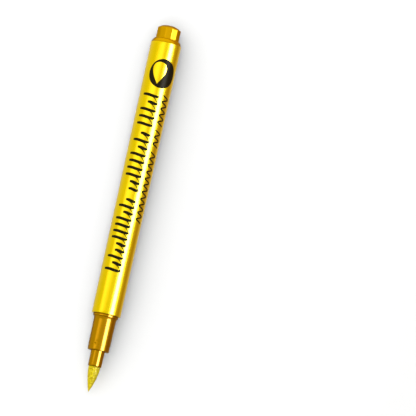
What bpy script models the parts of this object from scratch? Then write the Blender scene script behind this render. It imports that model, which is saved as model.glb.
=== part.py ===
"""A calligraphy marker: a slim brush pen with a fibre ink reservoir, uncapped and lying on its side.

The pen's axis runs along X, with the brush nib towards -X and the tail towards +X. The origin is on
the surface that the pen lies on, under the middle of its length. Every place along the pen is a
station: the distance from the tip of the nib towards the tail.
"""

import math

import bmesh
import bpy

MM = 0.001

# Driving dimensions: the stations where the outside changes, and the radii there.
LENGTH = 136.6 * MM
SLEEVE_MOUTH = 9.4 * MM
SECTION_FRONT = 15.15 * MM
SECTION_BAND = 17.1 * MM
BARREL_FRONT = 28.5 * MM
BARREL_REAR = 129.7 * MM
STUB_BASE = 131.3 * MM

BARREL_FRONT_RADIUS = 5.26 * MM
BARREL_REAR_RADIUS = 5.6 * MM
COLLAR_RADIUS = 4.58 * MM
SECTION_FRONT_RADIUS = 3.9 * MM
SECTION_BAND_RADIUS = 3.95 * MM
SECTION_REAR_RADIUS = 4.03 * MM
SLEEVE_MOUTH_RADIUS = 2.43 * MM
SLEEVE_RADIUS = 2.52 * MM
STUB_FLAT_RADIUS = 4.22 * MM
SHOULDER_RADIUS = 5.48 * MM
SHOULDER_SLOPE = 1.9  # 1 gives the shoulder a quarter round, and more gives it a flatter slope
END_FLAT_RADIUS = 1.2 * MM
END_CROWN = 1.05 * MM  # how far the end of the stub bulges
END_ROUND = 0.4 * MM  # rounding of the stub's rim
CROWN_STEPS = 4

# The inside.
SEAT_BORE = 4.72 * MM  # at each end of the barrel, for the section and for the plug
BARREL_BORE = 4.4 * MM
SEAT_DEPTH = 12.0 * MM
SEAL_RADIUS = 4.67 * MM
SEAL_WIDTH = 0.9 * MM
SEAL_DEPTHS = (3.0 * MM, 7.0 * MM)  # how far inside the barrel each sealing rib is
LEAD_IN_LENGTH = 0.6 * MM  # the narrowed end of a shank, which finds the bore
LEAD_IN_DEPTH = 0.3 * MM
BEAD_WIDTH = 0.9 * MM  # the ring in front of the barrel's rim
BEAD_HEIGHT = 0.28 * MM
FLARE_LENGTH = 1.2 * MM
SECTION_REAR = 39.0 * MM
SECTION_NOSE_BORE = 2.65 * MM
SECTION_REAR_BORE = 3.3 * MM
FLANGE_FRONT = 22.3 * MM
FLANGE_THICK = 1.2 * MM
FLANGE_RADIUS = 3.15 * MM
HOLDER_REAR = 30.0 * MM
HOLDER_REAR_RADIUS = 2.7 * MM
HOLDER_BORE = 1.9 * MM
VENT_WIDTH = 0.5 * MM
VENT_COUNT = 3

# The nib is one rod of bonded fibre. It bends at FLEX, where it is split in two.
NIB_HEAD_LENGTH = 9.2 * MM
NIB_HEAD_RADIUS = 2.09 * MM
NIB_SHANK_RADIUS = 1.75 * MM
NIB_REAR = 46.0 * MM
NIB_FULLNESS = 1.6  # 1 gives a straight cone, and more gives a rounder nib
FLEX = 6.3 * MM
FLEX_ANGLE = math.radians(32)
FLEX_GAP = 0.1 * MM

RESERVOIR_FRONT = 41.0 * MM
RESERVOIR_REAR = 116.0 * MM
RESERVOIR_RADIUS = 3.9 * MM
RESERVOIR_HOLE = 1.85 * MM
FILM_INNER_RADIUS = 3.98 * MM
FILM_RADIUS = 4.15 * MM

PLUG_FRONT = 118.4 * MM
PLUG_SHANK_RADIUS = 4.55 * MM
PLUG_HOLLOW_RADIUS = 3.4 * MM

GAP = 0.1 * MM  # between pieces that meet in a plane
EDGE = 0.15 * MM  # rounding of the moulded edges
ROUND_SIDES = 48
NIB_SIDES = 32
STUB_SIDES = 12


def clear_scene():
    for old in list(bpy.data.objects):
        bpy.data.objects.remove(old)


def collection(name):
    made = bpy.data.collections.new(name)
    bpy.context.scene.collection.children.link(made)
    return made


def material(name, colour, roughness, metallic):
    made = bpy.data.materials.new(name)
    made.use_nodes = True
    shader = made.node_tree.nodes["Principled BSDF"]
    shader.inputs["Base Color"].default_value = (*colour, 1)
    shader.inputs["Roughness"].default_value = roughness
    shader.inputs["Metallic"].default_value = metallic
    return made


def pen_axis(parts):
    """The empty that carries every piece. Its own Z runs along the pen, from the nib's tip."""
    axis = bpy.data.objects.new("pen_axis", None)
    axis.location = (-LENGTH / 2, 0, BARREL_REAR_RADIUS)
    axis.rotation_euler = (0, math.radians(90), 0)
    parts.objects.link(axis)
    return axis


def arc(station, radius, size, start, end, steps=3):
    """Points of a rounding about (station, radius), from one angle to another. Angle 0 points away
    from the axis and 90 degrees towards the tail."""
    angles = [math.radians(start + (end - start) * i / steps) for i in range(steps + 1)]
    return [(station + size * math.sin(a), radius + size * math.cos(a)) for a in angles]


def turned(name, profile, origin, sides, paint, axis, parts, closed=False):
    """A piece turned about the pen's axis. The profile's points are (station, radius), down the
    outer side from the tail to the nib and then back up any bore. Radii are to the flats, so that
    pieces with the same number of sides keep the gaps that their radii say."""
    to_corner = 1 / math.cos(math.pi / sides)
    mesh = bpy.data.meshes.new(name)
    outline = bmesh.new()
    points = [outline.verts.new((r * to_corner, 0, s - origin)) for s, r in profile]
    for first, second in zip(points, points[1:]):
        outline.edges.new((first, second))
    if closed:
        outline.edges.new((points[-1], points[0]))
    outline.to_mesh(mesh)
    outline.free()

    piece = bpy.data.objects.new(name, mesh)
    piece.parent = axis
    piece.location = (0, 0, origin)
    piece.rotation_euler = (0, 0, math.pi / sides)
    if paint:
        mesh.materials.append(paint)
    parts.objects.link(piece)

    screw = piece.modifiers.new("Turn", "SCREW")
    screw.axis = "Z"
    screw.steps = sides
    screw.render_steps = sides
    screw.use_merge_vertices = True
    screw.merge_threshold = 0.00001
    screw.use_smooth_shade = True
    return piece


def as_cutter(piece):
    piece.hide_render = True
    piece.display_type = "WIRE"


def combine(piece, other, operation):
    boolean = piece.modifiers.new(operation.title(), "BOOLEAN")
    boolean.operation = operation
    boolean.solver = "EXACT"
    boolean.object = other


def seals(rim, inward, shank_radius):
    """The sealing ribs on a shank, as profile points that run from the tail to the nib. inward is 1
    where the barrel is on the tail side of its rim, and -1 where it is on the nib side."""
    points = []
    for middle in sorted((rim + inward * depth for depth in SEAL_DEPTHS), reverse=True):
        points += [
            (middle + SEAL_WIDTH / 2, shank_radius),
            (middle + SEAL_WIDTH / 4, SEAL_RADIUS),
            (middle - SEAL_WIDTH / 4, SEAL_RADIUS),
            (middle - SEAL_WIDTH / 2, shank_radius),
        ]
    return points


def nib_radius(station):
    """The ogive outline of the brush head."""
    left = max(0.0, 1 - station / NIB_HEAD_LENGTH)
    return NIB_HEAD_RADIUS * (1 - left**NIB_FULLNESS)


def nib_stations(start, end, steps):
    return [start + (end - start) * i / steps for i in range(steps + 1)]


def make_barrel(paint, axis, parts):
    """The tapered tube, with a wider seat for another piece in each end."""
    rear_seat = BARREL_REAR - SEAT_DEPTH
    front_seat = BARREL_FRONT + SEAT_DEPTH
    profile = [
        *arc(BARREL_REAR - EDGE, BARREL_REAR_RADIUS - EDGE, EDGE, 90, 0),
        *arc(BARREL_FRONT + EDGE, BARREL_FRONT_RADIUS - EDGE, EDGE, 0, -90),
        (BARREL_FRONT, SEAT_BORE),
        (front_seat, SEAT_BORE),
        (front_seat, BARREL_BORE),
        (rear_seat, BARREL_BORE),
        (rear_seat, SEAT_BORE),
        (BARREL_REAR, SEAT_BORE),
    ]
    turned("barrel", profile, BARREL_FRONT, ROUND_SIDES, paint, axis, parts, closed=True)


def make_front_section(paint, axis, parts):
    """The grip in front of the barrel, with a flared collar, and the shank that seats inside."""
    bead_front = BARREL_FRONT - BEAD_WIDTH
    flare_radius = COLLAR_RADIUS - BEAD_HEIGHT
    flare_middle = (flare_radius + 2 * SECTION_REAR_RADIUS) / 3
    step = FLANGE_FRONT - GAP
    profile = [
        (SECTION_REAR, COLLAR_RADIUS - LEAD_IN_DEPTH),
        (SECTION_REAR - LEAD_IN_LENGTH, COLLAR_RADIUS),
        *seals(BARREL_FRONT, 1, COLLAR_RADIUS),
        *arc(bead_front + EDGE, COLLAR_RADIUS - EDGE, EDGE, 0, -90),
        (bead_front, flare_radius),
        (bead_front - FLARE_LENGTH / 2, flare_middle),
        (bead_front - FLARE_LENGTH, SECTION_REAR_RADIUS),
        (SECTION_BAND, SECTION_BAND_RADIUS),
        *arc(SECTION_FRONT + EDGE, SECTION_FRONT_RADIUS - EDGE, EDGE, 0, -90),
        (SECTION_FRONT, SECTION_NOSE_BORE),
        (step, SECTION_NOSE_BORE),
        (step, SECTION_REAR_BORE),
        (SECTION_REAR, SECTION_REAR_BORE),
    ]
    turned("front_section", profile, BARREL_FRONT, ROUND_SIDES, paint, axis, parts, closed=True)


def make_vent(name, angle, holder, cutters):
    """A cutter for one air groove along the outside of the nib holder."""
    length = HOLDER_REAR - SECTION_FRONT
    mesh = bpy.data.meshes.new(name)
    box = bmesh.new()
    bmesh.ops.create_cube(box, size=1)
    bmesh.ops.scale(box, vec=(VENT_WIDTH, VENT_WIDTH, length), verts=box.verts)
    bmesh.ops.translate(box, vec=(FLANGE_RADIUS, 0, 0), verts=box.verts)
    box.to_mesh(mesh)
    box.free()
    cutter = bpy.data.objects.new(name, mesh)
    cutter.parent = holder
    cutter.location = (0, 0, SECTION_FRONT + length / 2 + EDGE - SLEEVE_MOUTH)
    cutter.rotation_euler = (0, 0, angle)
    cutters.objects.link(cutter)
    as_cutter(cutter)
    return cutter


def make_nib_holder(paint, axis, parts, cutters):
    """The sleeve that grips the nib. Its flange is caught inside the front section, and is
    grooved so that air can pass it."""
    flange_rear = FLANGE_FRONT + FLANGE_THICK
    profile = [
        (HOLDER_REAR, HOLDER_REAR_RADIUS),
        (flange_rear, HOLDER_REAR_RADIUS),
        (flange_rear, FLANGE_RADIUS),
        (FLANGE_FRONT, FLANGE_RADIUS),
        (FLANGE_FRONT, SLEEVE_RADIUS),
        (SECTION_FRONT, SLEEVE_RADIUS),
        *arc(SLEEVE_MOUTH + EDGE, SLEEVE_MOUTH_RADIUS - EDGE, EDGE, 0, -90),
        (SLEEVE_MOUTH, HOLDER_BORE),
        (HOLDER_REAR, HOLDER_BORE),
    ]
    holder = turned("nib_holder", profile, SLEEVE_MOUTH, NIB_SIDES, paint, axis, parts, closed=True)
    for i in range(VENT_COUNT):
        angle = 2 * math.pi * i / VENT_COUNT
        combine(holder, make_vent(f"vent_{i}", angle, holder, cutters), "DIFFERENCE")


def make_nib_tip(paint, axis, parts):
    """The front of the nib. Its back is a cone, which leaves room for the bend."""
    back_edge = FLEX
    for _ in range(8):  # the cone's rim settles on the nib's outline
        back_edge = FLEX - FLEX_GAP - nib_radius(back_edge) * math.tan(FLEX_ANGLE)
    outside = [(s, nib_radius(s)) for s in nib_stations(0.0, back_edge, 8)]
    profile = [(FLEX - FLEX_GAP, 0.0), *reversed(outside)]
    turned("nib_tip", profile, FLEX, NIB_SIDES, paint, axis, parts)


def make_nib_shank(paint, axis, parts):
    """The back of the nib's head and the rod behind it, which reaches into the reservoir."""
    front = FLEX + FLEX_GAP
    shoulder = NIB_HEAD_LENGTH - EDGE
    outside = [(s, nib_radius(s)) for s in nib_stations(front, shoulder, 4)]
    profile = [
        (NIB_REAR, 0.0),
        (NIB_REAR, NIB_SHANK_RADIUS - EDGE),
        (NIB_REAR - EDGE, NIB_SHANK_RADIUS),
        (SLEEVE_MOUTH - GAP, NIB_SHANK_RADIUS),
        *reversed(outside),
        (front, 0.0),
    ]
    turned("nib_shank", profile, FLEX, NIB_SIDES, paint, axis, parts)


def make_reservoir_core(paint, axis, parts):
    """The rod of bonded fibre that holds the ink, with a blind hole for the nib in its front."""
    hole_end = NIB_REAR + 0.3 * MM
    profile = [
        (RESERVOIR_REAR, 0.0),
        (RESERVOIR_REAR, RESERVOIR_RADIUS),
        (RESERVOIR_FRONT, RESERVOIR_RADIUS),
        (RESERVOIR_FRONT, RESERVOIR_HOLE),
        (hole_end, RESERVOIR_HOLE),
        (hole_end, 0.0),
    ]
    turned("reservoir_core", profile, RESERVOIR_FRONT, NIB_SIDES, paint, axis, parts)


def make_reservoir_film(paint, axis, parts):
    """The plastic film that wraps the fibre and is open at both ends."""
    profile = [
        (RESERVOIR_REAR, FILM_RADIUS),
        (RESERVOIR_FRONT, FILM_RADIUS),
        (RESERVOIR_FRONT, FILM_INNER_RADIUS),
        (RESERVOIR_REAR, FILM_INNER_RADIUS),
    ]
    turned(
        "reservoir_film", profile, RESERVOIR_FRONT, NIB_SIDES, paint, axis, parts, closed=True
    )


def make_tail_plug(paint, axis, parts, cutters):
    """The plug that closes the barrel: a hollow shank with sealing ribs, a rounded shoulder on
    the barrel's rim, and a twelve-sided stub to grip it by."""
    seat = BARREL_REAR + GAP
    round_height = STUB_BASE - seat
    round_depth = SHOULDER_RADIUS - STUB_FLAT_RADIUS
    turns = [math.radians(angle) for angle in (0, 18, 36, 54, 72, 90)]
    shoulder = [
        (
            seat + round_height * math.cos(a) ** SHOULDER_SLOPE,
            STUB_FLAT_RADIUS + round_depth * math.sin(a),
        )
        for a in turns
    ]
    inset = 0.6 * MM  # the round part ends inside the stub, so that the two join cleanly
    profile = [
        (STUB_BASE + inset, 0.0),
        (STUB_BASE + inset, STUB_FLAT_RADIUS - inset),
        (STUB_BASE, STUB_FLAT_RADIUS - inset),
        *shoulder,
        (seat, PLUG_SHANK_RADIUS),
        *seals(BARREL_REAR, -1, PLUG_SHANK_RADIUS),
        (PLUG_FRONT + LEAD_IN_LENGTH, PLUG_SHANK_RADIUS),
        (PLUG_FRONT, PLUG_SHANK_RADIUS - LEAD_IN_DEPTH),
        (PLUG_FRONT, PLUG_HOLLOW_RADIUS),
        (BARREL_REAR, PLUG_HOLLOW_RADIUS),
        (BARREL_REAR, 0.0),
    ]
    plug = turned("tail_plug", profile, BARREL_REAR, ROUND_SIDES, paint, axis, parts)

    crown_rim = STUB_FLAT_RADIUS - END_ROUND
    crown = [
        (LENGTH - END_CROWN * t**2, END_FLAT_RADIUS + (crown_rim - END_FLAT_RADIUS) * t)
        for t in [i / CROWN_STEPS for i in range(CROWN_STEPS + 1)]
    ]
    stub_profile = [
        (LENGTH, 0.0),
        *crown,
        *arc(LENGTH - END_CROWN - END_ROUND, crown_rim, END_ROUND, 60, 0, 2),
        (STUB_BASE - inset, STUB_FLAT_RADIUS),
        (STUB_BASE - inset, 0.0),
    ]
    stub = turned("stub", stub_profile, BARREL_REAR, STUB_SIDES, None, axis, cutters)
    as_cutter(stub)
    combine(plug, stub, "UNION")


def main():
    clear_scene()
    parts = collection("calligraphy_marker")
    cutters = collection("cutters")
    axis = pen_axis(parts)

    bright_gold = material("bright gold", (0.83, 0.64, 0.03), 0.3, 0.85)
    deep_gold = material("deep gold", (0.55, 0.31, 0.02), 0.28, 0.85)
    inked_fibre = material("inked fibre", (0.72, 0.6, 0.04), 0.75, 0.35)
    reservoir_fibre = material("reservoir fibre", (0.7, 0.56, 0.08), 0.95, 0.0)
    clear_film = material("reservoir film", (0.85, 0.85, 0.82), 0.2, 0.0)

    make_barrel(bright_gold, axis, parts)
    make_front_section(deep_gold, axis, parts)
    make_nib_holder(deep_gold, axis, parts, cutters)
    make_nib_shank(inked_fibre, axis, parts)
    make_nib_tip(inked_fibre, axis, parts)
    make_reservoir_core(reservoir_fibre, axis, parts)
    make_reservoir_film(clear_film, axis, parts)
    make_tail_plug(deep_gold, axis, parts, cutters)


main()
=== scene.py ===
"""The looks of a calligraphy marker: a metallic gold brush pen lying on a pale floor.

Everything is placed by its station, the distance from the tip of the nib along the pen's axis, and
by its angle round that axis. Angle 0 is the top of the pen, and a positive angle turns towards -Y.
"""
import math

import bmesh
import bpy
from mathutils import Matrix, Vector, noise


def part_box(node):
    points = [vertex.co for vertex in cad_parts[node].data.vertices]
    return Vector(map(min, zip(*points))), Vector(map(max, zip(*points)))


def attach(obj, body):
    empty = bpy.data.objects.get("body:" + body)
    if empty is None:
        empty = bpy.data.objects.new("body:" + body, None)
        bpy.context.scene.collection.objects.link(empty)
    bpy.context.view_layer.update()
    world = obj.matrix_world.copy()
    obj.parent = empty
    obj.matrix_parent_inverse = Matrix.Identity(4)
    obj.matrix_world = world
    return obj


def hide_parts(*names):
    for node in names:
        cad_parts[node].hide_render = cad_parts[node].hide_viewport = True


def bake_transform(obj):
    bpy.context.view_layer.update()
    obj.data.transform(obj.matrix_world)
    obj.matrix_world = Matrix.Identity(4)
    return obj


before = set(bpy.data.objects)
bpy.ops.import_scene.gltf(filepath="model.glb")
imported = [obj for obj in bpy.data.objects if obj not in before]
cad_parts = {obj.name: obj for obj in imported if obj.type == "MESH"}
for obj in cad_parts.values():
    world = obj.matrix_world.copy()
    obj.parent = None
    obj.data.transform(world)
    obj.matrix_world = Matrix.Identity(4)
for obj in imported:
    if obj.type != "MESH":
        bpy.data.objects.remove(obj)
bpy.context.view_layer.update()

MM = 0.001
SEGMENTS = 192

# The frame: where the CAD nodes are.
TIP_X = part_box("nib_tip")[0].x
BARREL_LOW, BARREL_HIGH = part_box("barrel")
AXIS_Z = (BARREL_LOW.z + BARREL_HIGH.z) / 2
BARREL_FRONT = BARREL_LOW.x - TIP_X
BARREL_REAR = BARREL_HIGH.x - TIP_X
BARREL_REAR_RADIUS = (BARREL_HIGH.z - BARREL_LOW.z) / 2
BARREL_FRONT_RADIUS = 5.26 * MM
SECTION_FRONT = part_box("front_section")[0].x - TIP_X
SECTION_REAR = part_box("front_section")[1].x - TIP_X
SLEEVE_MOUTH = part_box("nib_holder")[0].x - TIP_X
HOLDER_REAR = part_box("nib_holder")[1].x - TIP_X
NIB_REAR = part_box("nib_shank")[1].x - TIP_X
RESERVOIR_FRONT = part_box("reservoir_core")[0].x - TIP_X
RESERVOIR_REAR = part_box("reservoir_core")[1].x - TIP_X
PLUG_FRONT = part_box("tail_plug")[0].x - TIP_X
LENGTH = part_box("tail_plug")[1].x - TIP_X

SEAT_BORE = 4.72 * MM
SEAT_DEPTH = 12 * MM
BARREL_BORE = 4.4 * MM
NIB_HEAD_LENGTH = 9.2 * MM
NIB_HEAD_RADIUS = 2.09 * MM
STUB_FLAT = 4.22 * MM
STUB_SIDES = 12
STUB_BASE = 131.3 * MM
INK_HEIGHT = 0.010 * MM
INK_DEPTH = 0.012 * MM


# ---------------------------------------------------------------- materials

def fill_ramp(node, stops):
    """Gives a colour ramp its (position, colour) stops."""
    elements = node.color_ramp.elements
    while len(elements) < len(stops):
        elements.new(0.5)
    for element, (position, colour) in zip(elements, stops):
        element.position = position
        element.color = (*colour, 1)


class Nodes:
    """A material and its node tree, with short ways to add and join nodes."""

    def __init__(self, name):
        self.material = bpy.data.materials.new(name)
        self.material.use_nodes = True
        self.tree = self.material.node_tree
        self.shader = self.tree.nodes["Principled BSDF"]

    def add(self, kind, **settings):
        node = self.tree.nodes.new(kind)
        for key, value in settings.items():
            setattr(node, key, value)
        return node

    def join(self, source, target):
        self.tree.links.new(source, target)

    def place(self, stretch=(1, 1, 1)):
        """Object coordinates, scaled along each axis."""
        where = self.add("ShaderNodeTexCoord")
        mapping = self.add("ShaderNodeMapping")
        mapping.inputs["Scale"].default_value = stretch
        self.join(where.outputs["Object"], mapping.inputs["Vector"])
        return mapping.outputs["Vector"]

    def noise(self, place, scale, detail=3, roughness=0.55):
        node = self.add("ShaderNodeTexNoise")
        node.inputs["Scale"].default_value = scale
        node.inputs["Detail"].default_value = detail
        node.inputs["Roughness"].default_value = roughness
        self.join(place, node.inputs["Vector"])
        return node.outputs["Fac"]

    def ramp(self, value, *stops):
        """A colour ramp of (position, colour) stops."""
        node = self.add("ShaderNodeValToRGB")
        fill_ramp(node, stops)
        self.join(value, node.inputs["Fac"])
        return node.outputs["Color"]

    def span(self, value, low, high):
        """A value from 0 to 1, spread between low and high."""
        node = self.add("ShaderNodeMapRange")
        node.inputs["To Min"].default_value = low
        node.inputs["To Max"].default_value = high
        self.join(value, node.inputs["Value"])
        return node.outputs["Result"]

    def bump(self, height, depth, strength=1.0):
        node = self.add("ShaderNodeBump")
        node.inputs["Strength"].default_value = strength
        node.inputs["Distance"].default_value = depth
        self.join(height, node.inputs["Height"])
        self.join(node.outputs["Normal"], self.shader.inputs["Normal"])

    def set(self, **values):
        """Numbers and colours that are the same all over, set on the shader's own sockets."""
        for key, value in values.items():
            self.shader.inputs[key.replace("_", " ")].default_value = value


def lacquer(name, light, deep, roughness, gloss, rim=1.0):
    """Metallic lacquer: fine pearl flakes in the colour and a slightly uneven gloss. A rim below
    1 mirrors less at a grazing angle."""
    made = Nodes(name)
    place = made.place()
    flakes = made.noise(place, 9000, detail=2)
    clouds = made.noise(made.place((0.25, 1, 1)), 420, detail=2)
    mix = made.add("ShaderNodeMix", data_type="FLOAT")
    mix.inputs[0].default_value = 0.35
    made.join(flakes, mix.inputs[2])
    made.join(clouds, mix.inputs[3])
    colour = made.ramp(mix.outputs[0], (0.32, deep), (0.62, light))
    made.join(colour, made.shader.inputs["Base Color"])
    made.join(made.span(clouds, roughness * 0.92, roughness * 1.1), made.shader.inputs["Roughness"])
    made.bump(flakes, 0.000003, 0.3)
    made.set(Metallic=1.0, Coat_Weight=gloss, Coat_Roughness=0.2, Coat_IOR=1.5)
    made.set(Specular_Tint=(rim, rim, rim, 1))
    return made.material


def printing_ink(name):
    """Screen-printed black ink, satin and a little uneven."""
    made = Nodes(name)
    place = made.place()
    grain = made.noise(place, 6000, detail=2)
    colour = made.ramp(grain, (0.3, (0.004, 0.003, 0.003)), (0.75, (0.011, 0.008, 0.007)))
    made.join(colour, made.shader.inputs["Base Color"])
    made.join(made.span(grain, 0.26, 0.36), made.shader.inputs["Roughness"])
    made.bump(grain, 0.000002, 0.3)
    made.set(Specular_IOR_Level=0.36, Specular_Tint=(0.32, 0.29, 0.07, 1))
    return made.material


def inked_fibre(name):
    """Bonded nylon fibre soaked with pigment ink: lengthwise fibres, mottled ink and glitter."""
    made = Nodes(name)
    fibres = made.noise(made.place((0.08, 1, 1)), 9000, detail=3)
    mottle = made.noise(made.place((0.7, 1, 1)), 2400, detail=4, roughness=0.7)
    colour = made.ramp(
        mottle,
        (0.38, (0.26, 0.14, 0.002)),
        (0.48, (0.56, 0.42, 0.004)),
        (0.60, (0.72, 0.60, 0.010)),
    )
    glitter = made.add("ShaderNodeTexVoronoi")
    glitter.inputs["Scale"].default_value = 6500
    made.join(made.place(), glitter.inputs["Vector"])
    flake = made.add("ShaderNodeSeparateColor")
    made.join(glitter.outputs["Color"], flake.inputs["Color"])
    sparkle = made.add("ShaderNodeMath", operation="GREATER_THAN")
    sparkle.inputs[1].default_value = 0.86
    made.join(flake.outputs["Red"], sparkle.inputs[0])
    bright = made.add("ShaderNodeMix", data_type="RGBA")
    bright.inputs[7].default_value = (0.86, 0.78, 0.10, 1)
    made.join(sparkle.outputs[0], bright.inputs[0])
    made.join(colour, bright.inputs[6])
    made.join(bright.outputs[2], made.shader.inputs["Base Color"])
    made.join(made.span(sparkle.outputs[0], 0.05, 0.5), made.shader.inputs["Metallic"])
    made.join(made.span(sparkle.outputs[0], 0.7, 0.4), made.shader.inputs["Roughness"])
    made.bump(fibres, 0.00003, 0.6)
    made.set(Specular_IOR_Level=0.3, Specular_Tint=(1, 0.95, 0.1, 1))
    return made.material


def reservoir_fibre(name):
    """Polyester fibre with ink drawn up through it."""
    made = Nodes(name)
    fibres = made.noise(made.place((0.05, 1, 1)), 6000, detail=3)
    soak = made.noise(made.place((0.4, 1, 1)), 300, detail=3)
    colour = made.ramp(soak, (0.3, (0.55, 0.38, 0.03)), (0.7, (0.80, 0.68, 0.16)))
    made.join(colour, made.shader.inputs["Base Color"])
    made.join(made.span(fibres, 0.8, 0.98), made.shader.inputs["Roughness"])
    made.bump(fibres, 0.00005, 0.7)
    return made.material


def clear_film(name):
    """The wrap round the reservoir: thin milky plastic with faint lengthwise creases."""
    made = Nodes(name)
    creases = made.noise(made.place((0.1, 1, 1)), 1200, detail=2)
    colour = made.ramp(creases, (0.3, (0.74, 0.66, 0.34)), (0.7, (0.86, 0.82, 0.62)))
    made.join(colour, made.shader.inputs["Base Color"])
    made.join(made.span(creases, 0.16, 0.3), made.shader.inputs["Roughness"])
    made.bump(creases, 0.00002, 0.5)
    return made.material


# ---------------------------------------------------------------- shapes

def point_at(station, radius, angle):
    """A place on the pen in the row frame."""
    return Vector((
        TIP_X + station,
        -radius * math.sin(angle),
        AXIS_Z + radius * math.cos(angle),
    ))


def rounded(corners, steps=5):
    """An outline of (station, radius) points from (station, radius, rounding) corners. Each corner
    is rounded by a curve that starts and ends that far from it."""
    outline = []
    for i, (station, radius, size) in enumerate(corners):
        corner = Vector((station, radius))
        if not size:
            outline.append(tuple(corner))
            continue
        before = Vector(corners[i - 1][:2]) - corner
        after = Vector(corners[(i + 1) % len(corners)][:2]) - corner
        start = corner + before.normalized() * min(size, before.length * 0.49)
        end = corner + after.normalized() * min(size, after.length * 0.49)
        for k in range(steps + 1):
            t = k / steps
            place = start * (1 - t) ** 2 + corner * 2 * t * (1 - t) + end * t**2
            outline.append(tuple(place))
    return outline


def stations(start, end, steps):
    return [start + (end - start) * i / steps for i in range(steps + 1)]


def even_angles(count=SEGMENTS):
    return [2 * math.pi * i / count for i in range(count)]


def add_piece(name, shape, paint, body, replaced=(), sharp=38):
    """Makes a scene object from a bmesh, smooth apart from its sharp edges, and rides it."""
    bmesh.ops.recalc_face_normals(shape, faces=shape.faces)
    mesh = bpy.data.meshes.new(name)
    shape.to_mesh(mesh)
    shape.free()
    mesh.materials.append(paint)
    mesh.shade_smooth()
    mesh.set_sharp_from_angle(angle=math.radians(sharp))
    piece = bpy.data.objects.new(name, mesh)
    bpy.context.collection.objects.link(piece)
    if body:
        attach(piece, body)
    if replaced:
        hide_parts(*replaced)
    return piece


def revolved(outline, angles, form=point_at, closed=True):
    """A bmesh turned about the pen's axis. form(station, radius, angle) gives each point's place,
    and the piece is round by default. An outline that isn't closed ends on the axis."""
    shape = bmesh.new()
    rings = []
    for station, radius in outline:
        if radius < 1e-9:
            rings.append([shape.verts.new(point_at(station, 0, 0))] * len(angles))
            continue
        rings.append([shape.verts.new(form(station, radius, a)) for a in angles])
    pairs = list(zip(rings, rings[1:]))
    if closed:
        pairs.append((rings[-1], rings[0]))
    for first, second in pairs:
        for i in range(len(angles)):
            k = (i + 1) % len(angles)
            corners = [first[i], first[k], second[k], second[i]]
            shape.faces.new(list(dict.fromkeys(corners)))
    return shape


def sealing_ribs(middles, base, height):
    """Corners of rounded sealing ribs on a shank, from the tail towards the nib."""
    width = 0.45 * MM
    corners = []
    for middle in middles:
        corners += [
            (middle + width, base, 0.1 * MM),
            (middle + width / 2, base + height, 0.1 * MM),
            (middle - width / 2, base + height, 0.1 * MM),
            (middle - width, base, 0.1 * MM),
        ]
    return corners


# ---------------------------------------------------------------- pieces

def barrel_radius(station):
    """The barrel's outer radius, which grows evenly from its front rim to its rear rim."""
    share = (station - BARREL_FRONT) / (BARREL_REAR - BARREL_FRONT)
    return BARREL_FRONT_RADIUS + (BARREL_REAR_RADIUS - BARREL_FRONT_RADIUS) * share


def make_barrel(paint):
    """The tapered tube with a seat bored in each end."""
    rim = 0.14 * MM
    bore_edge = 0.06 * MM
    front_seat = BARREL_FRONT + SEAT_DEPTH
    rear_seat = BARREL_REAR - SEAT_DEPTH
    margin = 1 * MM
    outside = [
        (s, barrel_radius(s), 0)
        for s in stations(BARREL_REAR - margin, BARREL_FRONT + margin, 24)
    ]
    corners = [
        (BARREL_REAR, BARREL_REAR_RADIUS, rim),
        *outside,
        (BARREL_FRONT, BARREL_FRONT_RADIUS, rim),
        (BARREL_FRONT, SEAT_BORE, bore_edge),
        (front_seat, SEAT_BORE, 0),
        (front_seat, BARREL_BORE, 0),
        (rear_seat, BARREL_BORE, 0),
        (rear_seat, SEAT_BORE, 0),
        (BARREL_REAR, SEAT_BORE, bore_edge),
    ]
    shape = revolved(rounded(corners), even_angles())
    return add_piece("barrel_shell", shape, paint, "pen_body", ["barrel"])


def section_form(station, radius, angle):
    """The front section is round, with a small moulding dimple in its end band."""
    dimple_station = SECTION_FRONT + 2.2 * MM
    dimple_angle = math.radians(-25)
    size = 0.55 * MM
    depth = 0.2 * MM
    outer_wall = 3.6 * MM
    if radius > outer_wall:
        along = station - dimple_station
        across = radius * ((angle - dimple_angle + math.pi) % (2 * math.pi) - math.pi)
        near = 1 - math.hypot(along, across) / size
        if near > 0:
            radius -= depth * (3 * near**2 - 2 * near**3)
    return point_at(station, radius, angle)


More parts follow.
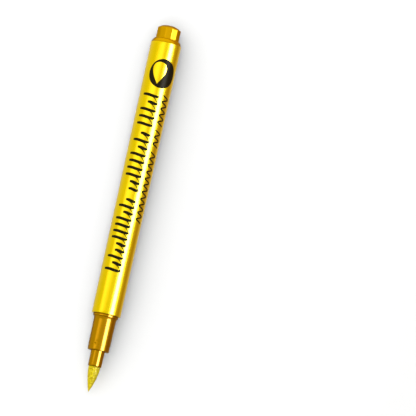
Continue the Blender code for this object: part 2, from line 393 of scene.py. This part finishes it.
def make_front_section(paint):
    """The grip: a rounded end band, a nearly straight body, a flare, a groove and the collar."""
    collar = 4.58 * MM
    groove = collar - 0.16 * MM
    flare_radius = 4.28 * MM
    body_rear = 4.03 * MM
    body_front = 3.96 * MM
    band_radius = 3.9 * MM
    sleeve_bore = 2.65 * MM
    flange_bore = 3.3 * MM
    flange_seat = SECTION_FRONT + 7.0 * MM
    bead_front = BARREL_FRONT - 0.92 * MM
    flare_front = bead_front - 1.2 * MM
    band = SECTION_FRONT + 1.95 * MM
    ribs = [BARREL_FRONT + 7 * MM, BARREL_FRONT + 3 * MM]
    flare = [
        (flare_front + (bead_front - flare_front) * t,
         body_rear + (flare_radius - body_rear) * t**2, 0)
        for t in stations(0.9, 0, 9)
    ]
    body = [
        (s, body_front + (body_rear - body_front) * (s - band) / (flare_front - band), 0)
        for s in stations(flare_front - 0.5 * MM, band + 1.2 * MM, 8)
    ]
    corners = [
        (SECTION_REAR, collar - 0.3 * MM, 0.05 * MM),
        (SECTION_REAR - 0.6 * MM, collar, 0.1 * MM),
        *sealing_ribs(ribs, collar, 0.09 * MM),
        (BARREL_FRONT + 0.1 * MM, collar, 0.02 * MM),
        (BARREL_FRONT, groove, 0.03 * MM),
        (BARREL_FRONT - 0.16 * MM, groove, 0.05 * MM),
        (BARREL_FRONT - 0.28 * MM, collar, 0.1 * MM),
        (bead_front, collar, 0.16 * MM),
        (bead_front - 0.04 * MM, flare_radius - 0.06 * MM, 0.04 * MM),
        (bead_front - 0.12 * MM, flare_radius - 0.03 * MM, 0.03 * MM),
        *flare,
        *body,
        *[(s, body_front, 0) for s in stations(band + 1.1 * MM, band + 0.12 * MM, 12)],
        (band + 0.04 * MM, body_front - 0.01 * MM, 0),
        (band, body_front - 0.07 * MM, 0.02 * MM),
        (band - 0.06 * MM, band_radius, 0.02 * MM),
        *[(s, band_radius, 0) for s in stations(band - 0.15 * MM, SECTION_FRONT + 0.4 * MM, 6)],
        (SECTION_FRONT, band_radius - 0.02 * MM, 0.2 * MM),
        (SECTION_FRONT, sleeve_bore, 0.08 * MM),
        (flange_seat, sleeve_bore, 0),
        (flange_seat, flange_bore, 0),
        (SECTION_REAR, flange_bore, 0.05 * MM),
    ]
    shape = revolved(rounded(corners), even_angles(), section_form)
    return add_piece("grip_section", shape, paint, "pen_body", ["front_section"])


def make_nib_sleeve(paint):
    """The thin sleeve round the nib, with its flange inside the front section."""
    mouth = 2.43 * MM
    outside = 2.52 * MM
    bore = 1.9 * MM
    flange_front = SECTION_FRONT + 7.15 * MM
    flange_rear = flange_front + 1.2 * MM
    flange = 3.15 * MM
    rear = 2.7 * MM
    corners = [
        (HOLDER_REAR, rear, 0.1 * MM),
        (flange_rear, rear, 0.05 * MM),
        (flange_rear, flange, 0.05 * MM),
        (flange_front, flange, 0.05 * MM),
        (flange_front, outside, 0),
        (SECTION_FRONT, outside, 0),
        *[(s, mouth + (outside - mouth) * (s - SLEEVE_MOUTH) / (SECTION_FRONT - SLEEVE_MOUTH), 0)
          for s in stations(SECTION_FRONT - 0.5 * MM, SLEEVE_MOUTH + 0.8 * MM, 6)],
        (SLEEVE_MOUTH, mouth, 0.2 * MM),
        (SLEEVE_MOUTH, bore, 0.04 * MM),
        (HOLDER_REAR, bore, 0.04 * MM),
    ]
    shape = revolved(rounded(corners), even_angles(128))
    return add_piece("nib_sleeve", shape, paint, "pen_body", ["nib_holder"])


def nib_radius(station):
    """The head's radius: a fullness of 1 would be a straight cone, and more is rounder."""
    fullness = 1.65
    left = max(0.0, 1 - station / NIB_HEAD_LENGTH)
    return NIB_HEAD_RADIUS * (1 - left**fullness)


def nib_form(station, radius, angle):
    """Fibre ridges along the nib, and a tip that leans a little to one side."""
    ridge_height = 0.035 * MM
    fine_height = 0.02 * MM
    full_ridges = 1.2 * MM
    tip_lean = 0.26 * MM
    crowding = 9
    ridge_length = 1 / 350
    fine_length = 1 / 900
    around = Vector((math.cos(angle), math.sin(angle), 0)) * crowding
    ridge = noise.noise(around + Vector((0, 0, station / ridge_length)))
    fine = noise.noise(around * 4 + Vector((7, 3, station / fine_length)))
    share = min(1.0, radius / full_ridges)
    radius += (ridge_height * ridge + fine_height * fine) * share
    place = point_at(station, radius, angle)
    left = max(0.0, 1 - station / NIB_HEAD_LENGTH)
    place.y += tip_lean * left**2
    return place


def make_nib(paint):
    """The brush nib, one rod from its pointed head to its end inside the reservoir. It bends in
    front of the sleeve."""
    tip_round = 0.12 * MM
    shank = 1.75 * MM
    head_end = NIB_HEAD_LENGTH - 0.12 * MM
    head = [(s, nib_radius(s) + tip_round * 0.5) for s in stations(head_end, tip_round, 56)]
    outline = [
        (NIB_REAR, 0.0),
        *rounded([
            (NIB_REAR, 0.6 * MM, 0),
            (NIB_REAR, shank, 0.15 * MM),
            (NIB_REAR - 1 * MM, shank, 0),
        ]),
        *[(s, shank) for s in stations(NIB_REAR - 2 * MM, SLEEVE_MOUTH + 1 * MM, 20)],
        (SLEEVE_MOUTH - 0.02 * MM, shank),
        (SLEEVE_MOUTH - 0.08 * MM, nib_radius(head_end) - 0.06 * MM),
        *head,
        (0.03 * MM, 0.05 * MM),
        (0.0, 0.0),
    ]
    shape = revolved(outline, even_angles(160), nib_form, closed=False)
    nib = add_piece("brush_nib", shape, paint, None, ["nib_shank", "nib_tip"], 60)
    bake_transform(nib)
    return nib


def make_reservoir(fibre, film):
    """The fibre rod with a socket for the nib's rod, and the thin film round it."""
    rod = 3.9 * MM
    socket = 1.85 * MM
    socket_end = NIB_REAR + 0.3 * MM
    film_inside = 3.98 * MM
    film_outside = 4.15 * MM
    film_edge = 0.03 * MM
    core = rounded([
        (RESERVOIR_REAR, 0.5 * MM, 0),
        (RESERVOIR_REAR, rod, 0.2 * MM),
        (RESERVOIR_FRONT, rod, 0.2 * MM),
        (RESERVOIR_FRONT, socket, 0.1 * MM),
        (socket_end, socket, 0),
    ])
    outline = [(RESERVOIR_REAR, 0.0), *core, (socket_end, 0.0)]
    shape = revolved(outline, even_angles(96), closed=False)
    add_piece("ink_reservoir", shape, fibre, "pen_body", ["reservoir_core"])
    wrap = [
        (RESERVOIR_REAR, film_outside, film_edge),
        (RESERVOIR_FRONT, film_outside, film_edge),
        (RESERVOIR_FRONT, film_inside, film_edge),
        (RESERVOIR_REAR, film_inside, film_edge),
    ]
    shape = revolved(rounded(wrap), even_angles(96))
    add_piece("reservoir_wrap", shape, film, "pen_body", ["reservoir_film"])


def stub_angles():
    """Angles round the plug, closer together at the stub's corners."""
    half = math.pi / STUB_SIDES
    spread = [-1, -0.97, -0.93, -0.88, -0.8, -0.55, -0.2, 0.2, 0.55, 0.8, 0.88, 0.93, 0.97]
    return [2 * half * side + half * s for side in range(STUB_SIDES) for s in spread]


def plug_form(station, radius, angle):
    """Twelve flats with softened corners behind the shoulder, and round in front of it."""
    if station < STUB_BASE or radius > STUB_FLAT * 1.02:
        return point_at(station, radius, angle)
    sharpness = 260
    corner_cut = 0.004
    half = math.pi / STUB_SIDES
    off = (angle + half) % (2 * half) - half
    flat = math.exp(-sharpness / math.cos(off))
    corner = math.exp(-sharpness * (1 / math.cos(half) - corner_cut))
    return point_at(station, radius * -math.log(flat + corner) / sharpness, angle)


def make_tail_plug(paint):
    """The hollow shank with sealing ribs, the rounded shoulder and the twelve-sided stub."""
    seat = BARREL_REAR + 0.06 * MM
    shoulder = 5.48 * MM
    shoulder_top = STUB_FLAT * 1.05
    shank = 4.55 * MM
    hollow = 3.4 * MM
    shoulder_slope = 1.9
    crown = 1.05 * MM
    end_flat = 1.2 * MM
    crown_rim = STUB_FLAT - 0.3 * MM
    ribs = [BARREL_REAR - 3 * MM, BARREL_REAR - 7 * MM]
    curve = []
    for a in [math.radians(9 * i) for i in range(1, 11)]:
        station = seat + (STUB_BASE - seat) * math.cos(a) ** shoulder_slope
        radius = shoulder_top + (shoulder - shoulder_top) * math.sin(a)
        curve.append((station, radius))
    dome = [
        (LENGTH - crown * t**2, end_flat + (crown_rim - end_flat) * t, 0)
        for t in stations(0, 1, 14)[1:-1]
    ]
    stub_end = [
        (LENGTH, end_flat * 0.4, 0),
        (LENGTH, end_flat, 0),
        *dome,
        (LENGTH - crown - 0.12 * MM, STUB_FLAT, 0.28 * MM),
        (LENGTH - crown - 0.8 * MM, STUB_FLAT, 0),
    ]
    lower = [
        (seat, shank, 0.05 * MM),
        *sealing_ribs(ribs, shank, 0.12 * MM),
        (PLUG_FRONT + 0.6 * MM, shank, 0.1 * MM),
        (PLUG_FRONT, shank - 0.3 * MM, 0.1 * MM),
        (PLUG_FRONT, hollow, 0.1 * MM),
        (BARREL_REAR, hollow, 0.4 * MM),
        (BARREL_REAR, 0.4 * MM, 0),
    ]
    outline = [
        (LENGTH, 0.0),
        *rounded(stub_end),
        *[(s, STUB_FLAT) for s in stations(LENGTH - crown - 1.2 * MM, STUB_BASE + 0.2 * MM, 8)],
        (STUB_BASE + 0.03 * MM, STUB_FLAT * 1.004),
        *curve,
        (seat, shoulder - 0.02 * MM),
        *rounded(lower),
        (BARREL_REAR, 0.0),
    ]
    shape = revolved(outline, stub_angles(), plug_form, closed=False)
    piece = add_piece("tail_stub_plug", shape, paint, "plug", ["tail_plug"], 30)
    level = piece.modifiers.new("Even shading", "WEIGHTED_NORMAL")
    level.keep_sharp = True
    return piece


# ---------------------------------------------------------------- print

def wrapped(station, across, height):
    """A place on the barrel, at an arc length across from its top line."""
    radius = barrel_radius(station)
    return point_at(station, radius + height, across / radius)


def ink_film(shape, rows, ring=False):
    """Adds a thin closed film of ink, wrapped on the barrel, over rows of (station, across)
    places. In a ring the last row meets the first."""
    top, under = (
        [[shape.verts.new(wrapped(*place, height)) for place in row] for row in rows]
        for height in (INK_HEIGHT, -INK_DEPTH)
    )
    lanes = len(rows[0]) - 1
    last = len(rows) - 1
    for i in range(last + 1 if ring else last):
        n = (i + 1) % len(rows)
        for k in range(lanes):
            for layer in (top, under):
                shape.faces.new([layer[i][k], layer[i][k + 1], layer[n][k + 1], layer[n][k]])
        for k in (0, lanes):
            shape.faces.new([top[i][k], top[n][k], under[n][k], under[i][k]])
    for i in () if ring else (0, last):
        for k in range(lanes):
            shape.faces.new([top[i][k], top[i][k + 1], under[i][k + 1], under[i][k]])


def brush_stroke(shape, path, width, steps, lanes):
    """Adds a stroke of ink along path(t), which returns (station, across), that is width(t)
    wide."""
    near = 0.01
    rows = []
    for i in range(steps + 1):
        t = i / steps
        here = Vector(path(t))
        ahead = Vector(path(min(1, t + near))) - Vector(path(max(0, t - near)))
        side = Vector((-ahead.y, ahead.x)).normalized() * width(t) / 2
        rows.append([here + side * (2 * k / lanes - 1) for k in range(lanes + 1)])
    ink_film(shape, rows)


def print_strokes(paint):
    """A calligrapher's practice strokes along the barrel in three runs: heavy falls that are
    joined by fine rises."""
    shape = bmesh.new()
    low = 1.66 * MM
    thick = 1.08 * MM
    thin = 0.3 * MM
    lean = 0.35 * MM
    tops = [-4.7, -2.1, -4.6, -2.1, -2.2, -4.7, -4.7, -4.5]
    rise_end = -1.6 * MM
    fall_sway = 0.12 * MM
    rise_bow = 0.35 * MM
    runs = [(44.4 * MM, 70.2 * MM, 12), (74.3 * MM, 95.0 * MM, 9), (98.6 * MM, 109.4 * MM, 5)]

    def fall_width(t):
        return thick * (0.62 + 0.38 * math.sin(math.pi * t) ** 0.5)

    for number, (first, last, count) in enumerate(runs):
        pitch = (last - first) / (count - 1)
        for i in range(count):
            foot = Vector((first + pitch * i, low))
            head = Vector((foot.x + lean, tops[(i + 3 * number) % len(tops)] * MM))

            def fall(t, foot=foot, head=head):
                point = head.lerp(foot, t)
                return point.x + fall_sway * math.sin(2 * math.pi * t), point.y

            brush_stroke(shape, fall, fall_width, steps=28, lanes=4)
            if i + 1 < count:
                end = Vector((foot.x + pitch + 0.1 * MM, rise_end))

                def rise(t, foot=foot, end=end):
                    bow = math.sin(math.pi * t) * rise_bow
                    point = foot.lerp(end, t)
                    return point.x + bow, point.y + bow

                brush_stroke(shape, rise, lambda t: thin, steps=18, lanes=2)
    return add_piece("print_strokes", shape, paint, "pen_body")


def print_zigzag(paint):
    """The fine zigzag line beside the strokes, in three runs."""
    shape = bmesh.new()
    pitch = 1.25 * MM
    middle_line = 4.6 * MM
    half = 1.5 * MM
    line = 0.55 * MM
    runs = [(63.2 * MM, 21), (91.4 * MM, 5), (99.4 * MM, 9)]
    for first, count in runs:
        for i in range(count):
            side = 1 if i % 2 else -1
            start = Vector((first + pitch * i, middle_line - side * half))
            end = Vector((first + pitch * (i + 0.9), middle_line + side * half))

            def path(t, start=start, end=end):
                point = start.lerp(end, t)
                return point.x, point.y

            brush_stroke(shape, path, lambda t: line, steps=12, lanes=2)
    return add_piece("print_zigzag", shape, paint, "pen_body")


def print_drop(paint):
    """A round blot near the tail with a clear ink drop left open in it."""
    shape = bmesh.new()
    middle = 118.1 * MM
    across = 1.05 * MM
    radius = 5.4 * MM
    reach = 5.1 * MM
    drop_length = 8.2 * MM
    drop_width = 7.02 * MM
    drop_shift = 1.3 * MM
    lanes = 12
    rows = []
    for a in even_angles(120):
        taper = math.sin(a / 2) ** 1.3
        outer = Vector((middle - radius * math.cos(a), across + reach * math.sin(a)))
        inner = Vector((
            middle - drop_length / 2 * math.cos(a),
            across - drop_shift + drop_width / 2 * math.sin(a) * taper,
        ))
        rows.append([outer.lerp(inner, k / lanes) for k in range(lanes + 1)])
    ink_film(shape, rows, ring=True)
    return add_piece("print_drop", shape, paint, "pen_body")


# ---------------------------------------------------------------- studio

def make_floor():
    """A plain pale floor."""
    made = Nodes("pale floor")
    made.set(Base_Color=(0.87, 0.87, 0.863, 1), Roughness=1.0, Specular_IOR_Level=0.0)
    shape = bmesh.new()
    bmesh.ops.create_grid(shape, x_segments=8, y_segments=8, size=3)
    mesh = bpy.data.meshes.new("floor")
    shape.to_mesh(mesh)
    shape.free()
    mesh.materials.append(made.material)
    floor = bpy.data.objects.new("floor", mesh)
    floor.visible_glossy = False
    bpy.context.collection.objects.link(floor)


def make_world():
    """Even white light on the floor, and the cards and dark corners that the gloss reflects. The
    cards are laid out by their angle from the zenith, from -180 on the +Y side to 180 on the -Y
    side. Their levels rise from the nib's end, at -1, to the tail's end, at 1."""
    world = bpy.data.worlds.new("studio")
    bpy.context.scene.world = world
    world.use_nodes = True
    world.cycles.sampling_method = "NONE"
    tree = world.node_tree
    nodes, links = tree.nodes, tree.links

    def math_node(operation, first, second=None):
        node = nodes.new("ShaderNodeMath")
        node.operation = operation
        for socket, value in zip(node.inputs, (first, second)):
            if isinstance(value, (int, float)):
                socket.default_value = value
            elif value:
                links.new(value, socket)
        return node.outputs[0]

    where = nodes.new("ShaderNodeTexCoord")
    parts = nodes.new("ShaderNodeSeparateXYZ")
    links.new(where.outputs["Generated"], parts.inputs[0])
    x, y, z = parts.outputs
    turn = math_node("ARCTAN2", math_node("MULTIPLY", y, -1), z)
    place = math_node("ADD", math_node("DIVIDE", turn, 2 * math.pi), 0.5)
    cards = nodes.new("ShaderNodeValToRGB")
    colours = [
        (-180, (0.60, 0.50, 0.30)),
        (-140, (0.68, 0.60, 0.30)),
        (-112, (0.76, 0.66, 0.12)),
        (-85, (0.74, 0.66, 0.02)),
        (-20, (0.74, 0.66, 0.0)),
        (8, (0.74, 0.66, 0.0)),
        (60, (0.70, 0.55, 0.0)),
        (84, (0.42, 0.26, 0.0)),
        (100, (0.34, 0.19, 0.0)),
        (115, (0.41, 0.25, 0.04)),
        (135, (0.64, 0.47, 0.13)),
        (160, (0.60, 0.50, 0.32)),
    ]
    fill_ramp(cards, [(angle / 360 + 0.5, colour) for angle, colour in colours])
    links.new(place, cards.inputs["Fac"])

    ends = nodes.new("ShaderNodeValToRGB")
    levels = [(-0.9, 0.22), (-0.42, 0.93), (0.06, 0.93), (0.26, 1.14), (0.9, 1.6)]
    fill_ramp(ends, [(along / 2 + 0.5, (level, level, level)) for along, level in levels])
    links.new(math_node("ADD", math_node("DIVIDE", x, 2), 0.5), ends.inputs["Fac"])

    ray = nodes.new("ShaderNodeLightPath")
    first_bounce = math_node("LESS_THAN", ray.outputs["Diffuse Depth"], 0.5)
    level = math_node("MULTIPLY", ends.outputs["Color"], first_bounce)
    seen = nodes.new("ShaderNodeBackground")
    links.new(cards.outputs["Color"], seen.inputs["Color"])
    links.new(level, seen.inputs["Strength"])
    room = nodes["Background"]
    room.inputs["Color"].default_value = (1, 1, 1, 1)
    room.inputs["Strength"].default_value = 0.65
    mix = nodes.new("ShaderNodeMixShader")
    links.new(ray.outputs["Is Glossy Ray"], mix.inputs[0])
    links.new(room.outputs[0], mix.inputs[1])
    links.new(seen.outputs[0], mix.inputs[2])
    links.new(mix.outputs[0], nodes["World Output"].inputs["Surface"])


# How far the camera's view of the pen leans away at its two ends, and the lamps' power for their
# area and radiance.
NIB_LEAN = 0.1
TAIL_LEAN = 0.17
PANEL_POWER = 4


def along_ray(x, lean, angle, distance):
    """The place that a point of the pen at x sees mirrored, at an angle from the zenith towards
    -Y, when the view of it leans away by lean."""
    turn = math.radians(angle)
    flat = math.sqrt(1 - lean**2)
    ray = Vector((lean, -math.sin(turn) * flat, math.cos(turn) * flat))
    return Vector((x, 0, AXIS_Z)) + ray * distance


def soft_box(
    name, nib_angle, tail_angle, width, length, radiance, for_floor=False, distance=0.45, shift=0
):
    """A panel over the pen that the pen's nib end sees at one angle and its tail at another, with
    its middle shifted towards the nib. It lights either what is glossy or what is matt, and adds
    nothing by way of matt surfaces."""
    first = along_ray(BARREL_LOW.x, NIB_LEAN, nib_angle, distance)
    last = along_ray(BARREL_HIGH.x, TAIL_LEAN, tail_angle, distance)
    along = (last - first).normalized()
    middle = (first + last) / 2 - along * shift
    back = middle - Vector((10 * MM, 0, AXIS_Z))
    back = (back - along * back.dot(along)).normalized()
    light = bpy.data.lights.new(name, "AREA")
    light.shape = "RECTANGLE"
    light.size = length
    light.size_y = width
    strength = max(radiance)
    light.energy = strength * length * width * PANEL_POWER
    light.color = [value / strength for value in radiance]
    light.use_nodes = True
    tree = light.node_tree
    ray = tree.nodes.new("ShaderNodeLightPath")
    once = tree.nodes.new("ShaderNodeMath")
    once.operation = "LESS_THAN"
    once.inputs[1].default_value = 0.5
    tree.links.new(ray.outputs["Diffuse Depth"], once.inputs[0])
    tree.links.new(once.outputs[0], tree.nodes["Emission"].inputs["Strength"])
    lamp = bpy.data.objects.new(name, light)
    pose = Matrix((along, back.cross(along), back)).transposed().to_4x4()
    pose.translation = middle
    lamp.matrix_world = pose
    lamp.visible_glossy = not for_floor
    lamp.visible_diffuse = for_floor
    light.cycles.use_multiple_importance_sampling = not for_floor
    bpy.context.collection.objects.link(lamp)


def make_lights():
    """Panels that the gloss mirrors: two warm ones on the left that spread towards the tail, and
    a yellow one on the right with a core so blue that gold mirrors it as white. Two more light
    only what is matt: the floor, the fibre and the print."""
    soft_box("left_panel", -54, -17, 0.16, 0.45, (0.36, 0.30, 0.20))
    soft_box("left_spread", -54, -2, 0.16, 0.45, (0.26, 0.23, 0.18))
    soft_box("right_panel", 44, 47, 0.30, 0.36, (1.3, 1.6, 0.0), shift=0.055)
    soft_box("right_core", 41.6, 45.6, 0.21, 0.36, (3.6, 3.6, 16.5), shift=0.055)
    soft_box("floor_key", -45, -45, 0.5, 1.2, (0.78, 0.78, 0.78), for_floor=True)
    soft_box("floor_top", 0, 0, 0.24, 1.2, (1.08, 1.08, 1.08), for_floor=True)


def make_camera():
    """Nearly overhead, from the nib's side, with a long lens and the pen leaning in the frame."""
    place = Vector((-0.1733, 0.0, 1.39))
    aim = Vector((0.00694, -0.02776, 0.0))
    roll = math.radians(12.385)
    back = (place - aim).normalized()
    up = (Vector((1, 0, 0)) - back * back.x).normalized()
    right = up.cross(back)
    turned_right = right * math.cos(roll) + up * math.sin(roll)
    turned_up = up * math.cos(roll) - right * math.sin(roll)
    data = bpy.data.cameras.new("camera")
    data.lens = 333.5
    data.sensor_width = 36
    data.clip_start = 0.05
    data.clip_end = 20
    camera = bpy.data.objects.new("camera", data)
    made = Matrix((turned_right, turned_up, back)).transposed().to_4x4()
    made.translation = place
    camera.matrix_world = made
    bpy.context.collection.objects.link(camera)
    bpy.context.scene.camera = camera


def main():
    bpy.context.scene.view_settings.view_transform = "Standard"
    make_camera()
    bright = lacquer("bright gold lacquer", (1.0, 0.80, 0.002), (0.96, 0.74, 0.001), 0.26, 1.0)
    deep = lacquer("deep gold lacquer", (0.57, 0.31, 0.002), (0.51, 0.265, 0.001), 0.2, 0.4, 0.28)
    # The plug has the grip's deep gold, painted lighter here: painted light that stands in for the
    # brighter light the tail end catches.
    plug = lacquer("plug gold lacquer with painted light", (0.71, 0.42, 0.003), (0.65, 0.38, 0.002), 0.3, 0.12, 0.2)
    ink = printing_ink("printing ink")
    make_barrel(bright)
    make_front_section(deep)
    make_nib_sleeve(deep)
    make_nib(inked_fibre("inked nib fibre"))
    make_reservoir(reservoir_fibre("reservoir fibre"), clear_film("film"))
    make_tail_plug(plug)
    print_strokes(ink)
    print_zigzag(ink)
    print_drop(ink)
    make_floor()
    make_world()
    make_lights()


main()
